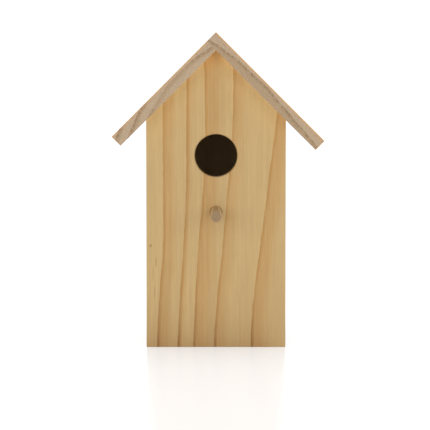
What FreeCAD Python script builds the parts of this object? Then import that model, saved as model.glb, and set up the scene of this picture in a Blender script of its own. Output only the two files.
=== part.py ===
import FreeCAD, Part
import math
import os

# A small wall-hung pine birdhouse for garden birds, in millimetres.
# Working frame: X to the right, Y from the front face towards the back, Z up.
# X = 0 is the centre plane of the walls, Y = 0 the front face and Z = 0 the base.
# Before export every piece moves by ORIGIN_SHIFT, which puts the row's origin
# at the bottom centre of the whole object's bounding box.

# Timber
BOARD = 9.5                    # thickness of every board
PANEL_WIDTH = 105.0            # front and back panels
BODY_DEPTH = 105.0             # front face to back face
GABLE_HEIGHT = 224.0           # base to the underside of the ridge
ARRIS = 0.7                    # sanded round on the open edges
HALF = PANEL_WIDTH / 2
WALL_MID = HALF - BOARD / 2
WALL_INNER = HALF - BOARD
SHOULDER_HEIGHT = GABLE_HEIGHT - HALF
BACK_INNER = BODY_DEPTH - BOARD

# Roof, pitched at 45 degrees: the right board laps over the top end of the left one
ROOT_2 = math.sqrt(2)
RIDGE_HEIGHT = GABLE_HEIGHT + BOARD * ROOT_2
RIGHT_SLOPE = 114.4            # ridge line to right eave, along the top face
LEFT_SLOPE = 110.0             # ridge line to left eave, along the top face
FRONT_OVERHANG = 16.0

# Entrance hole and perch
HOLE_RADIUS = 16.0
HOLE_HEIGHT = 145.0
HOLE_ROUND = 1.4               # sanded round on the rim
PERCH_RADIUS = 4.0
PERCH_HEIGHT = 102.4
PERCH_REACH = 50.0             # in front of the front face
PERCH_ROUND = 0.5
SOCKET_RADIUS = 4.05
SOCKET_FLARE = 5.0             # mouth of the shallow countersink round the perch
SOCKET_FLARE_DEPTH = 0.5
GLUE_GAP = 0.5                 # left behind the perch, short of the inner face

# Hinged floor
FLOOR_RECESS = 8.0             # underside of the floor above the base
FLOOR_SIDE_GAP = 0.5
FLOOR_FRONT_GAP = 0.8
FLOOR_BACK_GAP = 0.4
FLOOR_CORNER = 9.0             # front corners clipped to drain
FLOOR_MID = FLOOR_RECESS + BOARD / 2
PIVOT_Y = BACK_INNER - FLOOR_BACK_GAP - BOARD / 2

# Pivot nails of the floor
PIVOT_RADIUS = 1.3
PIVOT_LENGTH = 25.0
PIVOT_HEAD_RADIUS = 2.8
PIVOT_HEAD_HEIGHT = 1.0
PIVOT_BORE_CLEARANCE = 0.06
PIVOT_BORE_END = 1.5           # bore runs on past the nail's point

# Turn button that locks the floor, with its washer and screw
BUTTON_HALF_LENGTH = 15.0
BUTTON_HALF_WIDTH = 5.0
BUTTON_THICKNESS = 2.4
BUTTON_Y = BOARD + 11.0
BUTTON_PLAY = 0.05             # above and below the button
WASHER_RADIUS = 3.6
WASHER_THICKNESS = 0.8
BUTTON_SCREW_RADIUS = 1.7
BUTTON_BORE_RADIUS = 1.75
BUTTON_SCREW_DEPTH = 7.5       # into the floor
BUTTON_HEAD_RADIUS = 3.3
BUTTON_HEAD_HEIGHT = 1.9
GROOVE_RADIUS = 16.2           # disc-shaped groove that takes the button's tip
GROOVE_BOTTOM = 4.0
WASHER_BOTTOM = FLOOR_RECESS - WASHER_THICKNESS
BUTTON_TOP = WASHER_BOTTOM - BUTTON_PLAY
BUTTON_BOTTOM = BUTTON_TOP - BUTTON_THICKNESS
BUTTON_HEAD_TOP = BUTTON_BOTTOM - BUTTON_PLAY

# Glue dowels between the front panel and the walls
DOWEL_RADIUS = 2.5
DOWEL_IN_PANEL = 5.5
DOWEL_IN_WALL = 10.0
DOWEL_HEIGHTS = (38.0, 140.0)

# Brads
BRAD_RADIUS = 0.7
BRAD_HEAD_RADIUS = 1.4
BRAD_HEAD_HEIGHT = 0.6
ROOF_BRAD_LENGTH = 20.0
BACK_BRAD_LENGTH = 22.0
BACK_BRAD_HEIGHTS = (25.0, 85.0, 145.0)
ROOF_BRAD_DISTANCES = (30.0, 68.0)   # from the ridge line, along the top face
RIDGE_BRAD_INSET = 14.0        # from the front and back ends of the roof
WOOD_CLEARANCE = 0.02          # drilled round every fixed pin, brad and screw

# Keyhole hanger let into the back
HANGER_HEIGHT = 178.0
HANGER_HALF_WIDTH = 9.0
HANGER_HALF_HEIGHT = 19.0
HANGER_THICKNESS = 1.2
HANGER_CORNER = 2.5
HANGER_GAP = 0.2               # between the plate and the edge of its recess
KEY_RADIUS = 4.5
KEY_HEIGHT = 173.5
KEY_SLOT_RADIUS = 2.3
KEY_SLOT_TOP = 184.0
POCKET_RADIUS = 5.6
POCKET_DEPTH = 4.6             # behind the plate, for the head of the wall screw
HANGER_SCREW_INSET = 4.6
HANGER_SCREW_RADIUS = 1.3
HANGER_SCREW_LENGTH = 7.5
HANGER_SCREW_HEAD = 2.6
HANGER_SINK_DEPTH = 1.1
HANGER_SINK_PLAY = 0.08
DRIVER_SLOT_WIDTH = 0.7
DRIVER_SLOT_DEPTH = 0.6

X_AXIS = FreeCAD.Vector(1, 0, 0)
Y_AXIS = FreeCAD.Vector(0, 1, 0)
Z_AXIS = FreeCAD.Vector(0, 0, 1)
ROOF_FRONT = -FRONT_OVERHANG
LOWEST = FreeCAD.Vector(-LEFT_SLOPE / ROOT_2, -PERCH_REACH, 0)
HIGHEST = FreeCAD.Vector(RIGHT_SLOPE / ROOT_2, BODY_DEPTH, 0)
ORIGIN_SHIFT = (LOWEST + HIGHEST) * -0.5


def vec(x, y, z):
    return FreeCAD.Vector(x, y, z)


def block(low, high):
    """A box between two opposite corners."""
    size = high - low
    return Part.makeBox(size.x, size.y, size.z, low)


def prism(outline, y_front, y_back):
    """A closed XZ outline, carried from y_front to y_back."""
    points = [vec(x, y_front, z) for x, z in outline]
    face = Part.Face(Part.makePolygon(points + points[:1]))
    return face.extrude(vec(0, y_back - y_front, 0))


def rod(start, direction, radius, length):
    return Part.makeCylinder(radius, length, start, direction)


def pointed_nail(start, direction, length, radius, head_radius, head_height):
    """A nail whose head's top is at start and which runs along direction."""
    along = vec(*direction).normalize()
    tip_length = 2 * radius
    shank_length = length - tip_length
    head = rod(start, along, head_radius, head_height)
    shank = rod(start, along, radius, shank_length)
    tip = Part.makeCone(radius, radius * 0.2, tip_length, start + along * shank_length, along)
    return head.fuse(shank).fuse(tip).removeSplitter()


def brad(start, direction, length, grow=0.0):
    """One brad; grow widens it into the tool that drills its hole."""
    return pointed_nail(
        start, direction, length, BRAD_RADIUS + grow, BRAD_HEAD_RADIUS + grow, BRAD_HEAD_HEIGHT
    )


def cut_all(body, tools):
    for tool in tools:
        body = body.cut(tool)
    return body


def round_edges(body, radius, wanted):
    """Rounds the edges whose two ends and middle all satisfy wanted(point)."""
    chosen = []
    for edge in body.Edges:
        first, last = edge.ParameterRange
        samples = [edge.valueAt(first + (last - first) * part) for part in (0.0, 0.37, 1.0)]
        if all(wanted(point) for point in samples):
            chosen.append(edge)
    return body.makeFillet(radius, chosen)


def near(value, target):
    return abs(value - target) < 0.01


def pair_of_sides(make):
    """Left and right copies of what make(side) returns, side being -1 or 1."""
    return [make(side) for side in (-1, 1)]


# ---- fasteners, each also used as a drill with grow > 0 ----


def front_dowel_list(grow=0.0):
    start = BOARD - DOWEL_IN_PANEL
    length = DOWEL_IN_PANEL + DOWEL_IN_WALL
    return [
        rod(vec(side * WALL_MID, start, height), Y_AXIS, DOWEL_RADIUS + grow, length)
        for side in (-1, 1)
        for height in DOWEL_HEIGHTS
    ]


def back_brad_list(grow=0.0):
    return [
        brad(vec(side * WALL_MID, BODY_DEPTH, height), -Y_AXIS, BACK_BRAD_LENGTH, grow)
        for side in (-1, 1)
        for height in BACK_BRAD_HEIGHTS
    ]


def roof_brad_list(side, grow=0.0):
    """Brads through one roof board, square to it, into the two gables."""
    inward = vec(-side, 0, -1)
    brads = []
    for y in (BOARD / 2, BODY_DEPTH - BOARD / 2):
        for distance in ROOF_BRAD_DISTANCES:
            run = distance / ROOT_2
            brads.append(brad(vec(side * run, y, RIDGE_HEIGHT - run), inward, ROOF_BRAD_LENGTH, grow))
    return brads


def ridge_brad_list(grow=0.0):
    """Brads through the right board's top end into the end of the left board."""
    run = BOARD / 2 / ROOT_2
    first = ROOF_FRONT + RIDGE_BRAD_INSET
    last = BODY_DEPTH - RIDGE_BRAD_INSET
    return [
        brad(vec(run, y, RIDGE_HEIGHT - run), vec(-1, 0, -1), ROOF_BRAD_LENGTH, grow)
        for y in (first, (first + last) / 2, last)
    ]


def pivot_nail(side):
    outside = side * (HALF + PIVOT_HEAD_HEIGHT)
    return pointed_nail(
        vec(outside, PIVOT_Y, FLOOR_MID),
        vec(-side, 0, 0),
        PIVOT_LENGTH + PIVOT_HEAD_HEIGHT,
        PIVOT_RADIUS,
        PIVOT_HEAD_RADIUS,
        PIVOT_HEAD_HEIGHT,
    )


def pivot_drill(side, clearance, depth):
    """A straight hole for a pivot nail, depth deep from the outside of the wall."""
    return rod(vec(side * HALF, PIVOT_Y, FLOOR_MID), vec(-side, 0, 0), PIVOT_RADIUS + clearance, depth)


def cross_recess(centre, axis, across):
    """Two crossed slots for a screwdriver; axis points into the head."""
    other = axis.cross(across)
    reach = HANGER_SCREW_HEAD * 0.6
    slots = []
    for long_way, short_way in ((across, other), (other, across)):
        low = centre - long_way * reach - short_way * (DRIVER_SLOT_WIDTH / 2)
        high = centre + long_way * reach + short_way * (DRIVER_SLOT_WIDTH / 2) + axis * DRIVER_SLOT_DEPTH
        corner = vec(min(low.x, high.x), min(low.y, high.y), min(low.z, high.z))
        opposite = vec(max(low.x, high.x), max(low.y, high.y), max(low.z, high.z))
        slots.append(block(corner, opposite))
    return slots


def hanger_screw_list(grow=0.0):
    screws = []
    for height in (HANGER_HEIGHT - HANGER_HALF_HEIGHT, HANGER_HEIGHT + HANGER_HALF_HEIGHT):
        inset = HANGER_SCREW_INSET if height < HANGER_HEIGHT else -HANGER_SCREW_INSET
        top = vec(0, BODY_DEPTH, height + inset)
        head = Part.makeCone(
            HANGER_SCREW_HEAD + grow, HANGER_SCREW_RADIUS + grow, HANGER_SINK_DEPTH, top, -Y_AXIS
        )
        shank = pointed_nail(
            top, -Y_AXIS, HANGER_SCREW_LENGTH, HANGER_SCREW_RADIUS + grow, HANGER_SCREW_RADIUS + grow, 1.0
        )
        screw = head.fuse(shank).removeSplitter()
        if not grow:
            screw = cut_all(screw, cross_recess(top, -Y_AXIS, X_AXIS))
        screws.append(screw)
    return screws


# ---- boards ----


def gable_board(y_front):
    outline = [
        (-HALF, 0),
        (HALF, 0),
        (HALF, SHOULDER_HEIGHT),
        (0, GABLE_HEIGHT),
        (-HALF, SHOULDER_HEIGHT),
    ]
    return prism(outline, y_front, y_front + BOARD)


def under_roof(point):
    """True on the sloping edges that the roof boards rest on."""
    return near(abs(point.x) + point.z, GABLE_HEIGHT)


def bottom_corner(point):
    return near(abs(point.x), HALF) and near(point.z, 0)


def open_arris(point, outer_y):
    """True on a gable board's outer face and bottom corners, away from the roof."""
    return bottom_corner(point) or (near(point.y, outer_y) and not under_roof(point))


def on_hole_rim(point):
    return near(math.hypot(point.x, point.z - HOLE_HEIGHT), HOLE_RADIUS) and near(point.y, 0)


def front_panel():
    panel = gable_board(0)
    panel = round_edges(panel, ARRIS, lambda p: open_arris(p, 0))
    panel = panel.cut(rod(vec(0, 0, HOLE_HEIGHT), Y_AXIS, HOLE_RADIUS, BOARD))
    panel = round_edges(panel, HOLE_ROUND, on_hole_rim)
    mouth = vec(0, 0, PERCH_HEIGHT)
    socket = rod(mouth, Y_AXIS, SOCKET_RADIUS, BOARD)
    flare = Part.makeCone(SOCKET_FLARE, SOCKET_RADIUS, SOCKET_FLARE_DEPTH, mouth, Y_AXIS)
    groove_height = FLOOR_RECESS - GROOVE_BOTTOM
    groove = rod(vec(0, BUTTON_Y, GROOVE_BOTTOM), Z_AXIS, GROOVE_RADIUS, groove_height)
    drills = front_dowel_list(WOOD_CLEARANCE) + roof_brads_in_gable()
    return cut_all(panel, [socket, flare, groove] + drills)


def roof_brads_in_gable():
    return roof_brad_list(-1, WOOD_CLEARANCE) + roof_brad_list(1, WOOD_CLEARANCE)


def slot_shape(radius, z_low, z_high, y_low, y_high):
    """A rounded upright slot, centred on X = 0, cut along Y."""
    lower = rod(vec(0, y_low, z_low), Y_AXIS, radius, y_high - y_low)
    upper = rod(vec(0, y_low, z_high), Y_AXIS, radius, y_high - y_low)
    middle = block(vec(-radius, y_low, z_low), vec(radius, y_high, z_high))
    return lower.fuse(upper).fuse(middle)


def hanger_outline(grow, y_low, y_high):
    half_width = HANGER_HALF_WIDTH + grow
    half_height = HANGER_HALF_HEIGHT + grow
    plate = block(
        vec(-half_width, y_low, HANGER_HEIGHT - half_height),
        vec(half_width, y_high, HANGER_HEIGHT + half_height),
    )

    def corner(point):
        return near(abs(point.x), half_width) and near(abs(point.z - HANGER_HEIGHT), half_height)

    return round_edges(plate, HANGER_CORNER + grow, corner)


def back_panel():
    panel = gable_board(BACK_INNER)
    panel = round_edges(panel, ARRIS, lambda p: open_arris(p, BODY_DEPTH))
    seat = BODY_DEPTH - HANGER_THICKNESS
    recess = hanger_outline(HANGER_GAP, seat, BODY_DEPTH)
    pocket = slot_shape(POCKET_RADIUS, KEY_HEIGHT, KEY_SLOT_TOP, seat - POCKET_DEPTH, seat)
    drills = back_brad_list(WOOD_CLEARANCE) + roof_brads_in_gable() + hanger_screw_list(WOOD_CLEARANCE)
    return cut_all(panel, [recess, pocket] + drills)


def side_wall(side):
    """A wall between the two panels, its top bevelled to the roof."""
    outline = [
        (side * HALF, 0),
        (side * HALF, SHOULDER_HEIGHT),
        (side * WALL_INNER, GABLE_HEIGHT - WALL_INNER),
        (side * WALL_INNER, 0),
    ]
    wall = round_edges(prism(outline, BOARD, BACK_INNER), ARRIS, bottom_corner)
    drills = front_dowel_list(WOOD_CLEARANCE) + back_brad_list(WOOD_CLEARANCE)
    drills.append(pivot_drill(side, WOOD_CLEARANCE, BOARD))
    return cut_all(wall, drills)


def roof_board(side):
    """A roof board; the right one starts at the ridge line, the left one below it."""
    down = vec(side, 0, -1) / ROOT_2
    inward = vec(-side, 0, -1) / ROOT_2
    ridge = vec(0, 0, RIDGE_HEIGHT)
    slope, start = (RIGHT_SLOPE, 0.0) if side > 0 else (LEFT_SLOPE, BOARD)
    corners = [
        ridge + down * start,
        ridge + down * slope,
        ridge + down * slope + inward * BOARD,
        ridge + down * start + inward * BOARD,
    ]
    board = prism([(p.x, p.z) for p in corners], ROOF_FRONT, BODY_DEPTH)

    def open_edge(point):
        """Everything but the edges that close against the other board at the ridge."""
        along = (point - ridge).dot(down)
        depth = (point - ridge).dot(inward)
        if side > 0:
            return along > BOARD + 0.01 or not near(depth, BOARD)
        return along > BOARD + 0.01

    board = round_edges(board, ARRIS, open_edge)
    return cut_all(board, roof_brad_list(side, WOOD_CLEARANCE) + ridge_brad_list(WOOD_CLEARANCE))


def floor_board():
    """The floor, its back edge half round about the pivot nails."""
    half_width = WALL_INNER - FLOOR_SIDE_GAP
    front = BOARD + FLOOR_FRONT_GAP
    board = block(vec(-half_width, front, FLOOR_RECESS), vec(half_width, PIVOT_Y, FLOOR_RECESS + BOARD))
    board = board.fuse(rod(vec(-half_width, PIVOT_Y, FLOOR_MID), X_AXIS, BOARD / 2, 2 * half_width))
    board = board.removeSplitter()
    for side in (-1, 1):
        corner = vec(side * half_width, front, FLOOR_RECESS)
        clip = [
            corner,
            corner + vec(-side * FLOOR_CORNER, 0, 0),
            corner + vec(0, FLOOR_CORNER, 0),
        ]
        wedge = Part.Face(Part.makePolygon(clip + clip[:1])).extrude(vec(0, 0, BOARD))
        board = board.cut(wedge)
    reach = PIVOT_LENGTH + PIVOT_BORE_END
    bores = pair_of_sides(lambda side: pivot_drill(side, PIVOT_BORE_CLEARANCE, reach))
    return cut_all(board, bores + [button_screw_shank(WOOD_CLEARANCE)])


# ---- perch, turn button and hanger ----


def perch_dowel():
    length = PERCH_REACH + BOARD - GLUE_GAP
    perch = rod(vec(0, -PERCH_REACH, PERCH_HEIGHT), Y_AXIS, PERCH_RADIUS, length)
    return round_edges(perch, PERCH_ROUND, lambda p: near(p.y, -PERCH_REACH))


def turn_button():
    straight = BUTTON_HALF_LENGTH - BUTTON_HALF_WIDTH
    body = block(
        vec(-straight, BUTTON_Y - BUTTON_HALF_WIDTH, BUTTON_BOTTOM),
        vec(straight, BUTTON_Y + BUTTON_HALF_WIDTH, BUTTON_TOP),
    )
    ends = pair_of_sides(
        lambda side: rod(
            vec(side * straight, BUTTON_Y, BUTTON_BOTTOM), Z_AXIS, BUTTON_HALF_WIDTH, BUTTON_THICKNESS
        )
    )
    body = body.fuse(ends[0]).fuse(ends[1]).removeSplitter()
    body = round_edges(body, ARRIS, lambda p: near(p.z, BUTTON_BOTTOM))
    return body.cut(rod(vec(0, BUTTON_Y, BUTTON_BOTTOM), Z_AXIS, BUTTON_BORE_RADIUS, BUTTON_THICKNESS))


def turn_button_washer():
    disc = rod(vec(0, BUTTON_Y, WASHER_BOTTOM), Z_AXIS, WASHER_RADIUS, WASHER_THICKNESS)
    return disc.cut(rod(vec(0, BUTTON_Y, WASHER_BOTTOM), Z_AXIS, BUTTON_BORE_RADIUS, WASHER_THICKNESS))


def button_screw_shank(grow=0.0):
    start = vec(0, BUTTON_Y, BUTTON_HEAD_TOP)
    length = FLOOR_RECESS + BUTTON_SCREW_DEPTH - BUTTON_HEAD_TOP
    radius = BUTTON_SCREW_RADIUS + grow
    return pointed_nail(start, Z_AXIS, length, radius, radius, 1.0)


def turn_button_screw():
    """A round-head screw, its head a slice of a ball under the button."""
    sphere_radius = (BUTTON_HEAD_RADIUS ** 2 + BUTTON_HEAD_HEIGHT ** 2) / (2 * BUTTON_HEAD_HEIGHT)
    centre = vec(0, BUTTON_Y, BUTTON_HEAD_TOP + sphere_radius - BUTTON_HEAD_HEIGHT)
    ball = Part.makeSphere(sphere_radius, centre)
    head = ball.common(
        rod(
            vec(0, BUTTON_Y, BUTTON_HEAD_TOP - BUTTON_HEAD_HEIGHT),
            Z_AXIS,
            BUTTON_HEAD_RADIUS,
            BUTTON_HEAD_HEIGHT,
        )
    )
    screw = head.fuse(button_screw_shank()).removeSplitter()
    slot_centre = vec(0, BUTTON_Y, BUTTON_HEAD_TOP - BUTTON_HEAD_HEIGHT)
    return cut_all(screw, cross_recess(slot_centre, Z_AXIS, X_AXIS))


def keyhole_plate():
    seat = BODY_DEPTH - HANGER_THICKNESS
    plate = hanger_outline(0.0, seat, BODY_DEPTH)
    entry = rod(vec(0, seat, KEY_HEIGHT), Y_AXIS, KEY_RADIUS, HANGER_THICKNESS)
    slot = slot_shape(KEY_SLOT_RADIUS, KEY_HEIGHT, KEY_SLOT_TOP, seat, BODY_DEPTH)
    return cut_all(plate, [entry, slot] + hanger_screw_list(HANGER_SINK_PLAY))


def group(solids):
    return solids[0] if len(solids) == 1 else Part.makeCompound(solids)


PIECES = {
    "front_panel": [front_panel()],
    "back_panel": [back_panel()],
    "left_wall": [side_wall(-1)],
    "right_wall": [side_wall(1)],
    "left_roof_board": [roof_board(-1)],
    "right_roof_board": [roof_board(1)],
    "floor_board": [floor_board()],
    "perch_dowel": [perch_dowel()],
    "front_glue_dowels": front_dowel_list(),
    "back_brads": back_brad_list(),
    "left_roof_brads": roof_brad_list(-1),
    "right_roof_brads": roof_brad_list(1),
    "ridge_brads": ridge_brad_list(),
    "left_pivot_nail": [pivot_nail(-1)],
    "right_pivot_nail": [pivot_nail(1)],
    "turn_button": [turn_button()],
    "turn_button_washer": [turn_button_washer()],
    "turn_button_screw": [turn_button_screw()],
    "keyhole_plate": [keyhole_plate()],
    "keyhole_screws": hanger_screw_list(),
}

os.makedirs("parts", exist_ok=True)
for name, solids in PIECES.items():
    piece = group(solids)
    piece.translate(ORIGIN_SHIFT)
    piece.exportStep("parts/" + name + ".step")
    box = piece.BoundBox
    print(
        f"{name:20s} valid {piece.isValid()} solids {len(piece.Solids)} volume {piece.Volume:10.1f}"
        f"  x {box.XMin:7.2f} {box.XMax:7.2f}  y {box.YMin:7.2f} {box.YMax:7.2f}"
        f"  z {box.ZMin:7.2f} {box.ZMax:7.2f}"
    )
print("origin shift", ORIGIN_SHIFT)
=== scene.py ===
import math

import bpy
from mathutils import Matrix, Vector


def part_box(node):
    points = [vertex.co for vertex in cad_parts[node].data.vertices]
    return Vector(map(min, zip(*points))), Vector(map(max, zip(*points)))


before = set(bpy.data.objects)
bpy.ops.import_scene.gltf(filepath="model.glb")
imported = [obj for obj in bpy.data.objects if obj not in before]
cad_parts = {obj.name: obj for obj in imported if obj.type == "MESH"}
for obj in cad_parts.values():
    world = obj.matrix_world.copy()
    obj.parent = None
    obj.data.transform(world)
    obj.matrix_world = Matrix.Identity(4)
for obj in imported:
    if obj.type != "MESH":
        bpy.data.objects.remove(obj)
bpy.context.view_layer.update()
scene = bpy.context.scene

X, Y, Z = Vector((1, 0, 0)), Vector((0, 1, 0)), Vector((0, 0, 1))
DIAGONAL = math.sqrt(0.5)
RIGHT_DOWN = Vector((DIAGONAL, 0, -DIAGONAL))       # down the right roof slope, and into the left board
LEFT_DOWN = Vector((-DIAGONAL, 0, -DIAGONAL))       # down the left roof slope, and into the right board

front_low, front_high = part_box("front_panel")
centre_x = (front_low.x + front_high.x) / 2
front_y = front_low.y


# ---- camera ----

CAMERA_DISTANCE = 1.650         # in front of the front face
CAMERA_HEIGHT = 0.224           # level with the underside of the ridge
CAMERA_ASIDE = -0.00075
AIM_HEIGHT = 0.1002
LENS = 183.9
SENSOR = 36


def add_camera():
    data = bpy.data.cameras.new("camera")
    data.lens = LENS
    data.sensor_width = SENSOR
    camera = bpy.data.objects.new("camera", data)
    scene.collection.objects.link(camera)
    camera.location = (centre_x + CAMERA_ASIDE, front_y - CAMERA_DISTANCE, CAMERA_HEIGHT)
    target = Vector((centre_x + CAMERA_ASIDE, front_y, AIM_HEIGHT))
    camera.rotation_euler = (target - camera.location).to_track_quat("-Z", "Y").to_euler()
    scene.camera = camera


# ---- shader nodes ----


def add_node(tree, kind, inputs=None, **settings):
    """A new node; inputs gives each socket a value or links it to another node's output."""
    node = tree.nodes.new(kind)
    for name, value in settings.items():
        setattr(node, name, value)
    for key, value in (inputs or {}).items():
        if isinstance(value, bpy.types.NodeSocket):
            tree.links.new(value, node.inputs[key])
        else:
            node.inputs[key].default_value = value
    return node


def calc(tree, operation, *values):
    return add_node(tree, "ShaderNodeMath", dict(enumerate(values)), operation=operation).outputs[0]


def chain(tree, operation, values):
    """The sum, product, least or most of several values."""
    result = values[0]
    for value in values[1:]:
        result = calc(tree, operation, result, value)
    return result


def vector_calc(tree, operation, a, b, output="Vector"):
    return add_node(tree, "ShaderNodeVectorMath", {0: a, 1: b}, operation=operation).outputs[output]


def combine(tree, x, y, z):
    return add_node(tree, "ShaderNodeCombineXYZ", {0: x, 1: y, 2: z}).outputs[0]


def fade(tree, value, low, high):
    """0 below low and 1 above high, with a smooth step between; 1 to 0 when low is the larger."""
    inputs = {"Value": value, "From Min": low, "From Max": high}
    return add_node(tree, "ShaderNodeMapRange", inputs, interpolation_type="SMOOTHSTEP").outputs["Result"]


def noise(tree, vector, detail=2.0, rough=0.5):
    """Noise with features about one unit across, centred on zero, about -0.5 to 0.5."""
    inputs = {"Vector": vector, "Scale": 1.0, "Detail": detail, "Roughness": rough}
    return calc(tree, "SUBTRACT", add_node(tree, "ShaderNodeTexNoise", inputs).outputs["Fac"], 0.5)


def mix(tree, factor, a, b, blend="MIX"):
    node = add_node(tree, "ShaderNodeMix", data_type="RGBA", blend_type=blend)
    sockets = [socket for socket in node.inputs if socket.enabled]
    for socket, value in zip(sockets, (factor, a, b)):
        if isinstance(value, bpy.types.NodeSocket):
            tree.links.new(value, socket)
        else:
            socket.default_value = value if isinstance(value, float) else (*value, 1.0)
    return [socket for socket in node.outputs if socket.enabled][0]


def brighten(tree, colour, factor):
    return vector_calc(tree, "MULTIPLY", colour, combine(tree, factor, factor, factor))


STUDIO_LIGHT = 1.31             # how much brighter than its own colour an upright surface looks


def seen_as(red, green, blue):
    """The base colour that shows as this 8-bit screen colour in the studio's light."""
    def one(value):
        value /= 255
        return (value / 12.92 if value <= 0.04045 else ((value + 0.055) / 1.055) ** 2.4) / STUDIO_LIGHT
    return (one(red), one(green), one(blue))


def new_material(name):
    material = bpy.data.materials.new(name)
    material.use_nodes = True
    return material, material.node_tree


def object_millimetres(tree):
    place = add_node(tree, "ShaderNodeTexCoord").outputs["Object"]
    return vector_calc(tree, "MULTIPLY", place, Vector((1000.0, 1000.0, 1000.0)))


def paint(node, material):
    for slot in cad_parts[node].material_slots:
        slot.material = material


# ---- wood ----

# Each palette: between the growth lines, the warm side of a line, and the line itself.
FACE = (seen_as(205, 173, 119), seen_as(198, 158, 101), seen_as(186, 140, 79))
END = (seen_as(189, 164, 134), seen_as(178, 151, 119), seen_as(150, 121, 88))
FOOT_SHADE_TINT = (0.60, 0.50, 0.40)  # painted shade: how much darker the foot of a wall is painted, for the shade near the floor
FOOT_SHADE_FALL = 21.0                # mm upwards in which that falls to a third
FOOT_SHADE_BETWEEN_LINES = 0.64
FOOT_SHADE_MORE_ON_LINES = 0.60
UNDER_ROOF_LIGHT_TINT = (1.60, 1.58, 1.50)       # painted light: how much brighter the front is painted just under the roof, against the overhang's shade
UNDER_ROOF_LIGHT_FALL = 9.0              # mm below the roof in which that painted light falls to a third
PEAK_LIGHT_TINT = (1.30, 1.22, 1.10)  # painted light: the peak painted paler, against the shade under the ridge
PEAK_START, PEAK_FULL = 0.203, 0.224    # metres above the base
ARRIS_HIGHLIGHT_TINT = (1.12, 0.99, 0.86) # sanded edges, painted warmer and brighter: a painted rim highlight
END_RIM_TINT = (1.20, 1.01, 0.78)       # end grain next to a board's outer face
NAIL_TINT = (0.78, 0.72, 0.66)  # bruised wood round a nail head
BRUISE_FULL, BRUISE_REACH = 1.2, 2.6    # mm from the middle of the head
KNOT_TINT = (0.66, 0.50, 0.38)
KNOT_EDGE_TINT = (0.50, 0.36, 0.28)
NEVER = 1000.0                  # farther than any growth line

# Each pattern: features per mm across, into and along the board, then its detail and roughness.
PATTERNS = {
    "fibre": (1.8, 1.8, 0.06, 3.0, 0.65),
    "streak": (0.42, 0.42, 0.012, 3.0, 0.6),
    "cloud": (0.05, 0.05, 0.012, 2.0, 0.5),
    "patch": (0.16, 0.16, 0.03, 3.0, 0.6),
    "speck": (1.0, 1.0, 1.0, 3.0, 0.8),
    "broken": (0.30, 0.30, 0.035, 3.0, 0.6),
    "pore": (3.4, 3.4, 0.16, 1.0, 0.5),
}
FACE_LIGHT = {"fibre": 0.24, "streak": 0.30, "speck": 0.10, "cloud": 0.12, "pore": -0.08}
END_LIGHT = {"speck": 1.45, "cloud": 0.20}
PATCH_WARMTH = 1.1
FAINT_EDGE = 12.0               # mm in which a board's growth lines grow faint
FAINTNESS = 0.85


def board_place(tree, origin, across, into, along):
    """Millimetres across, into and along a board, from its own corner."""
    place = add_node(tree, "ShaderNodeTexCoord").outputs["Object"]
    local = vector_calc(tree, "SUBTRACT", place, origin)
    return [vector_calc(tree, "DOT_PRODUCT", local, axis * 1000.0, "Value") for axis in (across, into, along)]


def stretched(tree, place, *factors):
    """The board's own coordinates, each times its factor."""
    return combine(tree, *(calc(tree, "MULTIPLY", value, factor) for value, factor in zip(place, factors)))


def facing(tree, axis):
    """1 where the surface is square to the axis, 0 where it runs along it."""
    normal = add_node(tree, "ShaderNodeTexCoord").outputs["Normal"]
    return calc(tree, "ABSOLUTE", vector_calc(tree, "DOT_PRODUCT", normal, axis, "Value"))


def end_grain_share(tree, along):
    """1 where the surface is cut across the grain, 0 along it."""
    return fade(tree, facing(tree, along), 0.80, 0.97)


def arris_share(tree, axes):
    """1 on the rounded edges of a board, 0 on its flat faces."""
    squarest = chain(tree, "MAXIMUM", [facing(tree, axis) for axis in axes])
    return fade(tree, squarest, 0.995, 0.94)


def grain_colour(tree, palette, warmth, line):
    pale, warm, dark = palette
    return mix(tree, line, mix(tree, warmth, pale, warm), dark)


def wood_patterns(tree, place):
    """Every pattern in a board's wood, by name."""
    patterns = {}
    for name, (across, into, along, detail, rough) in PATTERNS.items():
        patterns[name] = noise(tree, stretched(tree, place, across, into, along), detail, rough)
    patterns["pore"] = fade(tree, patterns["pore"], 0.20, 0.27)
    return patterns


def pattern_light(tree, patterns, strengths):
    """1, made lighter or darker by each pattern as far as its strength says."""
    light = 1.0
    for name, strength in strengths.items():
        light = calc(tree, "MULTIPLY_ADD", patterns[name], strength, light)
    return light


def wood_colour(tree, patterns, ends, warmth, lines, palettes):
    """The planed faces' colour, or the end grain's where ends is 1."""
    warmth = calc(tree, "MULTIPLY_ADD", patterns["patch"], PATCH_WARMTH, warmth)
    colours = []
    for palette, line, strengths in zip(palettes, lines, (FACE_LIGHT, END_LIGHT)):
        light = pattern_light(tree, patterns, strengths)
        colours.append(brighten(tree, grain_colour(tree, palette, warmth, line), light))
    return mix(tree, ends, *colours)


def wood_relief(tree, patterns, ends, line):
    return chain(tree, "ADD", [
        calc(tree, "MULTIPLY", patterns["fibre"], 0.6),
        chain(tree, "MULTIPLY", [patterns["speck"], ends, 1.2]),
        calc(tree, "MULTIPLY", line, 0.5),
    ])


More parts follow.
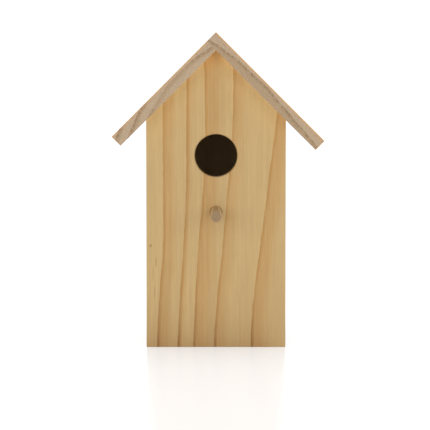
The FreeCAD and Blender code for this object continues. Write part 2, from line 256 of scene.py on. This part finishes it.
def finish_wood(tree, place, along, warmth, line, marks=(), palettes=(FACE, END)):
    """Colour, gloss and relief of bare planed wood, from its growth rings.

    marks are (share, tint) pairs.
    """
    ends = end_grain_share(tree, along)
    patterns = wood_patterns(tree, place)
    face_line = calc(tree, "MULTIPLY", line, fade(tree, patterns["broken"], -0.42, 0.12))
    end_line = calc(tree, "MULTIPLY", face_line, fade(tree, patterns["broken"], -0.16, 0.10))
    colour = wood_colour(tree, patterns, ends, warmth, (face_line, end_line), palettes)
    for share, tint in marks:
        colour = mix(tree, share, colour, tint, "MULTIPLY")
    shader = tree.nodes["Principled BSDF"]
    tree.links.new(colour, shader.inputs["Base Color"])
    tree.links.new(calc(tree, "MULTIPLY_ADD", patterns["fibre"], 0.15, 0.56), shader.inputs["Roughness"])
    shader.inputs["Specular IOR Level"].default_value = 0.28
    relief = wood_relief(tree, patterns, ends, face_line)
    bump = add_node(tree, "ShaderNodeBump", {"Strength": 0.35, "Distance": 0.00015, "Height": relief})
    tree.links.new(bump.outputs[0], shader.inputs["Normal"])


def wall_foot_painted_shade(tree, place, line):
    """How far the foot of a wall is painted darker, as painted shade near the floor, and its tint; the growth
    lines are painted darker still.
    """
    shade_share = calc(tree, "EXPONENT", calc(tree, "DIVIDE", place[2], -FOOT_SHADE_FALL))
    depth = calc(tree, "MULTIPLY_ADD", line, FOOT_SHADE_MORE_ON_LINES, FOOT_SHADE_BETWEEN_LINES)
    return calc(tree, "MULTIPLY", shade_share, depth), FOOT_SHADE_TINT


def painted_light_under_roof(tree):
    """How much brighter the front is painted just under the roof and in the peak, as painted light against
    the overhang's shade; (share, tint) pairs.
    """
    place = add_node(tree, "ShaderNodeTexCoord").outputs["Object"]
    from_middle = vector_calc(tree, "SUBTRACT", place, X * centre_x)
    aside = calc(tree, "ABSOLUTE", vector_calc(tree, "DOT_PRODUCT", from_middle, X, "Value"))
    height = vector_calc(tree, "DOT_PRODUCT", place, Z, "Value")
    below = calc(tree, "SUBTRACT", front_high.z, calc(tree, "ADD", height, aside))
    gap = calc(tree, "MULTIPLY", below, 1000.0 * DIAGONAL)
    near_roof = calc(tree, "EXPONENT", calc(tree, "DIVIDE", gap, -UNDER_ROOF_LIGHT_FALL))
    return [(near_roof, UNDER_ROOF_LIGHT_TINT), (fade(tree, height, PEAK_START, PEAK_FULL), PEAK_LIGHT_TINT)]


def loose_parts(node):
    """The middle of each separate piece of a CAD node, in metres."""
    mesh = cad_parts[node].data
    group = list(range(len(mesh.vertices)))

    def root(index):
        while group[index] != index:
            group[index] = group[group[index]]
            index = group[index]
        return index

    keys = {}
    for vertex in mesh.vertices:
        key = tuple(round(value, 6) for value in vertex.co)
        group[vertex.index] = keys.setdefault(key, vertex.index)
    for edge in mesh.edges:
        first, second = (root(index) for index in edge.vertices)
        group[second] = first
    parts = {}
    for vertex in mesh.vertices:
        parts.setdefault(root(vertex.index), []).append(vertex.co)
    return [sum(points, Vector()) / len(points) for points in parts.values()]


def nearest_on_face(tree, place, spots):
    """Distance in mm, seen square to the board, to the nearest of these spots, each (across, along)."""
    flat = combine(tree, place[0], 0.0, place[2])
    gaps = []
    for across, along in spots:
        gaps.append(vector_calc(tree, "DISTANCE", flat, Vector((across, 0, along)), "Value"))
    return chain(tree, "MINIMUM", gaps)


def nail_bruises(tree, place, origin, axes, nodes):
    """How far the wood is bruised round each nail in these nodes, and the bruise's tint."""
    spots = []
    for node in nodes:
        for middle in loose_parts(node):
            local = (middle - origin) * 1000.0
            spots.append((local.dot(axes[0]), local.dot(axes[2])))
    return fade(tree, nearest_on_face(tree, place, spots), BRUISE_REACH, BRUISE_FULL), NAIL_TINT


def circle_rings(tree, place, pith, lean, spacing, ring, swell):
    """Mm inward of the nearest outer growth line, and outward of the nearest inner one.

    pith is where the centre of the tree lies at the board's end, in mm across and into the board, lean is how
    far that moves for each mm along it, and ring is the radius of one line.
    """
    a, n, g = place
    wobble = noise(tree, stretched(tree, place, 0.02, 0.02, 0.006))
    dx = calc(tree, "SUBTRACT", a, calc(tree, "MULTIPLY_ADD", g, lean[0], pith[0]))
    dy = calc(tree, "SUBTRACT", n, calc(tree, "MULTIPLY_ADD", g, lean[1], pith[1]))
    radius = calc(tree, "SQRT", calc(tree, "MULTIPLY_ADD", dx, dx, calc(tree, "MULTIPLY", dy, dy)))
    radius = calc(tree, "MULTIPLY_ADD", wobble, 0.5 * spacing, radius)
    jitter = noise(tree, stretched(tree, place, 0.35, 0.35, 0.02), 3.0, 0.6)
    radius = calc(tree, "MULTIPLY_ADD", jitter, 0.7, radius)
    if swell is not None:
        radius = calc(tree, "ADD", radius, swell)
    share = calc(tree, "FRACT", calc(tree, "DIVIDE", calc(tree, "SUBTRACT", ring, radius), spacing))
    after = calc(tree, "MULTIPLY", share, spacing)
    return after, calc(tree, "SUBTRACT", spacing, after)


def line_share(tree, after, before):
    """1 on a growth line, from the mm after the last line and the mm before the next."""
    return calc(tree, "MULTIPLY", fade(tree, after, 3.2, 0.2), fade(tree, before, 0.0, 0.9))


def all_but_faint(tree, across, start, stop):
    """How much of a growth line shows: all of it outside start to stop, in mm across, and little inside."""
    rise = fade(tree, across, start, start + FAINT_EDGE)
    fall = fade(tree, across, stop, stop - FAINT_EDGE)
    return calc(tree, "MULTIPLY_ADD", calc(tree, "MULTIPLY", rise, fall), -FAINTNESS, 1.0)


def knot(tree, place, spot, size):
    """A knot through the board: how it swells the rings round it, and its own two tints."""
    gap = nearest_on_face(tree, place, [spot])
    gap = calc(tree, "MULTIPLY_ADD", noise(tree, stretched(tree, place, 0.2, 0.05, 0.2)), 0.5 * size, gap)
    swell = calc(tree, "MULTIPLY", fade(tree, gap, 5.5 * size, 0.0), 1.5 * size)
    core = fade(tree, gap, size, 0.8 * size)
    year = calc(tree, "MULTIPLY_ADD", calc(tree, "SINE", calc(tree, "MULTIPLY", gap, 5.0)), 0.15, 0.85)
    edge = calc(tree, "MULTIPLY", core, fade(tree, gap, 0.6 * size, 0.95 * size))
    return swell, [(calc(tree, "MULTIPLY", core, year), KNOT_TINT), (edge, KNOT_EDGE_TINT)]


def ringed_board(
    name, origin, axes, pith, lean, spacing, ring=0.0, warm=6.0,
    foot=False, nails=(), knot_at=None, faint=None,
):
    """A board cut from a tree whose rings run through it.

    warm is the width of a line's warm side. faint is where, in mm across the board, the lines nearly vanish.
    """
    material, tree = new_material(name)
    place = board_place(tree, origin, *axes)
    swell, marks = knot(tree, place, *knot_at) if knot_at else (None, [])
    after, before = circle_rings(tree, place, pith, lean, spacing, ring, swell)
    line = line_share(tree, after, before)
    if faint:
        line = calc(tree, "MULTIPLY", line, all_but_faint(tree, place[0], *faint))
    # sanded edges, painted brighter as a rim highlight
    marks.append((arris_share(tree, axes), ARRIS_HIGHLIGHT_TINT))
    rim = calc(tree, "MULTIPLY", end_grain_share(tree, axes[2]), fade(tree, place[1], 1.5, 0.5))
    marks.append((rim, END_RIM_TINT))
    # painted shade at the foot of the wall, near the floor
    if foot:
        marks.append(wall_foot_painted_shade(tree, place, line))
    if nails:
        marks.append(nail_bruises(tree, place, origin, axes, nails))
    warmth = fade(tree, after, 1.5 * warm, 0.5 * warm)
    finish_wood(tree, place, axes[2], warmth, line, marks)
    return material


# The front panel's growth lines: distance from its left edge in mm, at these heights above the base.
LINE_HEIGHTS = (0, 40, 80, 120, 160, 210)
GROWTH_LINES = (
    (-14.0, -14.0, -13.0, -13.0, -13.0, -13.0),
    (7.7, 9.8, 12.7, 12.7, 12.5, 12.4),
    (23.3, 25.4, 28.1, 29.9, 30.0, 30.6),
    (35.1, 37.0, 39.4, 42.7, 44.3, 43.8),
    (50.8, 53.6, 57.9, 61.2, 64.7, 65.5),
    (78.9, 81.0, 86.3, 91.2, 96.3, 103.0),
)
# How warm each line's far side is, and where in mm past the line that starts to fade and has gone.
WARM_SIDES = ((0.0, 4, 12), (0.85, 6, 11), (0.9, 0, 7), (1.1, 4, 18), (0.8, 3, 13), (1.25, 2, 17))
LINE_REACH = 160.0              # the lines' curves run from -LINE_REACH to LINE_REACH


def growth_line(tree, height_share, places):
    """How far across the front one growth line lies, in mm, at each height."""
    node = add_node(tree, "ShaderNodeFloatCurve", {"Value": height_share})
    curve = node.mapping.curves[0]
    while len(curve.points) < len(places):
        curve.points.new(0.5, 0.5)
    top = LINE_HEIGHTS[-1]
    for point, height, place in zip(curve.points, LINE_HEIGHTS, places):
        point.location = (height / top, (place + LINE_REACH) / (2 * LINE_REACH))
        point.handle_type = "AUTO"
    node.mapping.update()
    return calc(tree, "MULTIPLY_ADD", node.outputs[0], 2 * LINE_REACH, -LINE_REACH)


def warm_side(tree, past, index):
    """The warm band beside one growth line, up to the next line."""
    strength, full, gone = WARM_SIDES[index]
    inside = calc(tree, "GREATER_THAN", past[index], 0.0)
    if index + 1 < len(past):
        inside = calc(tree, "SUBTRACT", inside, calc(tree, "GREATER_THAN", past[index + 1], 0.0))
    return chain(tree, "MULTIPLY", [inside, fade(tree, past[index], float(gone), float(full)), strength])


def only_positive(tree, value):
    """The value, or a very large one where it is negative."""
    return calc(tree, "MULTIPLY_ADD", calc(tree, "LESS_THAN", value, 0.0), NEVER, value)


def front_rings(tree, place):
    """Warmth and line share of the front panel's own rings."""
    a, n, g = place
    height_share = calc(tree, "DIVIDE", g, float(LINE_HEIGHTS[-1]))
    drift = noise(tree, stretched(tree, place, 0.02, 0.0, 0.03), 3.0)
    jitter = noise(tree, stretched(tree, place, 0.5, 0.0, 0.11), 3.0, 0.6)
    wobble = calc(tree, "MULTIPLY_ADD", jitter, 1.4, drift)
    across = calc(tree, "MULTIPLY_ADD", n, 0.6, calc(tree, "ADD", a, wobble))
    lines = [growth_line(tree, height_share, places) for places in GROWTH_LINES]
    past = [calc(tree, "SUBTRACT", across, line) for line in lines]
    short_of = [calc(tree, "MULTIPLY", value, -1.0) for value in past]
    warmth = chain(tree, "ADD", [warm_side(tree, past, index) for index in range(len(past))])
    after = chain(tree, "MINIMUM", [only_positive(tree, value) for value in past])
    before = chain(tree, "MINIMUM", [only_positive(tree, value) for value in short_of])
    return warmth, line_share(tree, after, before)


# Small dark flecks in the front board: mm across and up, half width and half height, and how dark.
FLECKS = (
    (3.2, 77.0, 0.9, 1.1, 1.0),
    (7.3, 64.5, 0.5, 4.5, 0.7),
    (5.0, 56.0, 0.4, 7.0, 0.45),
    (6.2, 42.0, 0.4, 6.0, 0.5),
)
FLECK_TINT = (0.60, 0.54, 0.46)


def front_flecks(tree, place):
    marks = []
    for across, up, half_width, half_height, strength in FLECKS:
        local = combine(
            tree,
            calc(tree, "DIVIDE", calc(tree, "SUBTRACT", place[0], across), half_width),
            0.0,
            calc(tree, "DIVIDE", calc(tree, "SUBTRACT", place[2], up), half_height),
        )
        size = add_node(tree, "ShaderNodeVectorMath", {0: local}, operation="LENGTH").outputs["Value"]
        marks.append((calc(tree, "MULTIPLY", fade(tree, size, 1.3, 0.4), strength), FLECK_TINT))
    return marks


def front_foot_painted_shade(tree, place, line):
    """Painted shade at the foot of the front board, near the floor, fainter towards its right edge."""
    shade_share, tint = wall_foot_painted_shade(tree, place, line)
    return calc(tree, "MULTIPLY", shade_share, fade(tree, place[0], 125.0, 80.0)), tint


def front_edge_highlight(tree, place):
    """The sanded side edges of the front board, away from the hole and the perch, with a painted rim
    highlight.
    """
    half = (front_high.x - front_low.x) * 500
    aside = calc(tree, "ABSOLUTE", calc(tree, "SUBTRACT", place[0], half))
    return calc(tree, "MULTIPLY", arris_share(tree, (X, Y, Z)), fade(tree, aside, 25.0, 35.0)), ARRIS_HIGHLIGHT_TINT


def front_material():
    """The front board, with its own growth lines and flecks."""
    material, tree = new_material("pine_front_panel")
    place = board_place(tree, front_low, X, Y, Z)
    warmth, line = front_rings(tree, place)
    # the edge mark is a painted highlight on the sanded side edges
    # the foot mark is painted shade near the floor
    marks = [front_foot_painted_shade(tree, place, line), front_edge_highlight(tree, place)]
    # painted light under the roof and in the peak
    marks += painted_light_under_roof(tree) + front_flecks(tree, place)
    finish_wood(tree, place, Z, warmth, line, marks)
    return material


def paint_walls():
    paint("front_panel", front_material())
    low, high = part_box("back_panel")
    corner, axes = Vector((high.x, high.y, low.z)), (-X, -Y, Z)
    back = ringed_board(
        "pine_back_panel", corner, axes, (44, 64), (0.03, 0.09), 9.0,
        foot=True, knot_at=((27, 62), 4.5),
    )
    paint("back_panel", back)
    low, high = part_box("left_wall")
    corner, axes = Vector((low.x, high.y, low.z)), (-Y, X, Z)
    left = ringed_board("pine_left_wall", corner, axes, (24, -58), (0.05, 0.10), 8.0, foot=True)
    paint("left_wall", left)
    low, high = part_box("right_wall")
    corner, axes = Vector((high.x, low.y, low.z)), (Y, -X, Z)
    right = ringed_board("pine_right_wall", corner, axes, (62, 47), (-0.03, -0.07), 9.0, foot=True)
    paint("right_wall", right)
    low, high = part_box("floor_board")
    paint("floor_board", ringed_board("pine_floor_board", low, (X, Z, Y), (30, 50), (0.05, 0.10), 9.0))


def paint_roof():
    low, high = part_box("right_roof_board")
    ridge = Vector((centre_x, low.y, high.z))
    axes = (RIGHT_DOWN, LEFT_DOWN, Y)
    nails = ("right_roof_brads", "ridge_brads")
    right = ringed_board(
        "pine_right_roof", ridge, axes, (57, 282), (0.05, 0.09), 16.0, 280.0, 9.0,
        nails=nails,
    )
    paint("right_roof_board", right)
    axes = (LEFT_DOWN, RIGHT_DOWN, Y)
    nails = ("left_roof_brads",)
    left = ringed_board(
        "pine_left_roof", ridge, axes, (40, 125), (0.04, 0.08), 8.2, 131.5, 3.0,
        nails=nails, faint=(24.0, 80.0),
    )
    paint("left_roof_board", left)


# ---- perch ----

PERCH_FACE = (seen_as(205, 172, 126), seen_as(198, 162, 114), seen_as(186, 148, 102))
PERCH_END = (seen_as(164, 137, 102), seen_as(152, 125, 90), seen_as(124, 98, 68))
PERCH_TOP_SHADE_TINT = (0.66, 0.64, 0.66)     # painted shade on the dowel's upper side, a strip narrowing towards its tip


def paint_wooden_rods():
    for node in ("perch_dowel", "front_glue_dowels"):
        low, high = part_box(node)
        middle = (low + high) / 2
        material, tree = new_material("wood_of_" + node)
        place = board_place(tree, Vector((middle.x, low.y, middle.z)), X, Z, Y)
        after = circle_rings(tree, place, (14, 5), (0.0, 0.0), 1.5, 0.0, None)[0]
        normal = add_node(tree, "ShaderNodeTexCoord").outputs["Normal"]
        upward = fade(tree, vector_calc(tree, "DOT_PRODUCT", normal, Z, "Value"), 0.10, 0.45)
        half_width = calc(tree, "MULTIPLY_ADD", place[2], -0.045, 3.4)
        top_shade_strip = fade(tree, calc(tree, "SUBTRACT", half_width, calc(tree, "ABSOLUTE", place[0])), 0.0, 0.9)
        line = calc(tree, "MULTIPLY", fade(tree, after, 0.5, 0.1), 0.7)
        # painted shade along the top of the dowel
        marks = [(calc(tree, "MULTIPLY", upward, top_shade_strip), PERCH_TOP_SHADE_TINT)]
        finish_wood(tree, place, Y, fade(tree, after, 1.2, 0.4), line, marks, (PERCH_FACE, PERCH_END))
        paint(node, material)


# ---- metal ----

STEEL_NODES = (
    "back_brads",
    "left_roof_brads",
    "right_roof_brads",
    "ridge_brads",
    "left_pivot_nail",
    "right_pivot_nail",
)
ZINC_NODES = ("turn_button", "turn_button_washer", "turn_button_screw", "keyhole_plate", "keyhole_screws")


def finish_metal(tree, colour, rough, relief):
    shader = tree.nodes["Principled BSDF"]
    tree.links.new(colour, shader.inputs["Base Color"])
    tree.links.new(rough, shader.inputs["Roughness"])
    shader.inputs["Metallic"].default_value = 1.0
    bump = add_node(tree, "ShaderNodeBump", {"Strength": 0.3, "Distance": 0.00005, "Height": relief})
    tree.links.new(bump.outputs[0], shader.inputs["Normal"])


def steel_material():
    """Drawn wire, a little dull."""
    material, tree = new_material("bright_steel")
    place = object_millimetres(tree)
    cloud = noise(tree, vector_calc(tree, "MULTIPLY", place, Vector((0.8, 0.8, 0.8))), 3.0)
    grit = noise(tree, vector_calc(tree, "MULTIPLY", place, Vector((9.0, 9.0, 9.0))), 2.0)
    tarnish = fade(tree, cloud, 0.02, 0.22)
    colour = mix(tree, tarnish, (0.52, 0.52, 0.51), (0.36, 0.33, 0.29))
    finish_metal(tree, colour, calc(tree, "MULTIPLY_ADD", cloud, 0.3, 0.40), grit)
    return material


def zinc_material():
    """Bright zinc plating with faint crystals and fine scratches."""
    material, tree = new_material("zinc_plate")
    place = object_millimetres(tree)
    cells = add_node(tree, "ShaderNodeTexVoronoi", {"Vector": place, "Scale": 0.45})
    crystal = vector_calc(tree, "DOT_PRODUCT", cells.outputs["Color"], Vector((0.333, 0.333, 0.333)), "Value")
    cloud = noise(tree, vector_calc(tree, "MULTIPLY", place, Vector((0.25, 0.25, 0.25))), 3.0)
    scratch = noise(tree, vector_calc(tree, "MULTIPLY", place, Vector((6.0, 6.0, 0.5))), 2.0, 0.6)
    light = chain(tree, "ADD", [
        calc(tree, "MULTIPLY_ADD", crystal, 0.16, 0.92),
        calc(tree, "MULTIPLY", cloud, 0.25),
        calc(tree, "MULTIPLY", scratch, 0.12),
    ])
    dull = fade(tree, cloud, 0.0, 0.3)
    colour = brighten(tree, mix(tree, dull, (0.56, 0.57, 0.59), (0.50, 0.49, 0.47)), light)
    rough = calc(tree, "MULTIPLY_ADD", scratch, 0.25, calc(tree, "MULTIPLY_ADD", crystal, 0.12, 0.32))
    finish_metal(tree, colour, rough, scratch)
    return material


def paint_metal():
    steel, zinc = steel_material(), zinc_material()
    for node in STEEL_NODES:
        paint(node, steel)
    for node in ZINC_NODES:
        paint(node, zinc)


# ---- stage ----

FLOOR_RADIUS = 4.0
LIGHT_SIZE = 0.9


def add_floor():
    """A pale light table, lit from below, so that the shadows on it stay faint."""
    bpy.ops.mesh.primitive_circle_add(vertices=96, radius=FLOOR_RADIUS, fill_type="NGON")
    floor = bpy.context.object
    floor.name = "studio_floor"
    material, tree = new_material("studio_floor")
    shader = tree.nodes["Principled BSDF"]
    shader.inputs["Base Color"].default_value = (0.44, 0.44, 0.44, 1)
    shader.inputs["Emission Color"].default_value = (0.98, 1.0, 1.02, 1)
    shader.inputs["Emission Strength"].default_value = 0.45
    shader.inputs["Roughness"].default_value = 0.24
    shader.inputs["Specular IOR Level"].default_value = 0.12
    floor.data.materials.append(material)


def add_light(name, place, power):
    data = bpy.data.lights.new(name, "AREA")
    data.size = LIGHT_SIZE
    data.energy = power
    light = bpy.data.objects.new(name, data)
    light.location = place
    light.rotation_euler = (Vector((0, 0, 0.12)) - Vector(place)).to_track_quat("-Z", "Y").to_euler()
    scene.collection.objects.link(light)


def add_lights():
    world = bpy.data.worlds.new("studio")
    world.use_nodes = True
    background = world.node_tree.nodes["Background"]
    background.inputs["Color"].default_value = (1, 1, 1, 1)
    background.inputs["Strength"].default_value = 1.11
    scene.world = world
    add_light("key", (-0.9, -1.7, 0.30), 5.5)
    add_light("fill", (0.9, -1.7, 0.25), 5.5)
    add_light("top", (0.0, 0.3, 1.9), 5.0)
    scene.view_settings.view_transform = "Standard"
    scene.view_settings.look = "None"


add_camera()
paint_walls()
paint_roof()
paint_wooden_rods()
paint_metal()
add_floor()
add_lights()
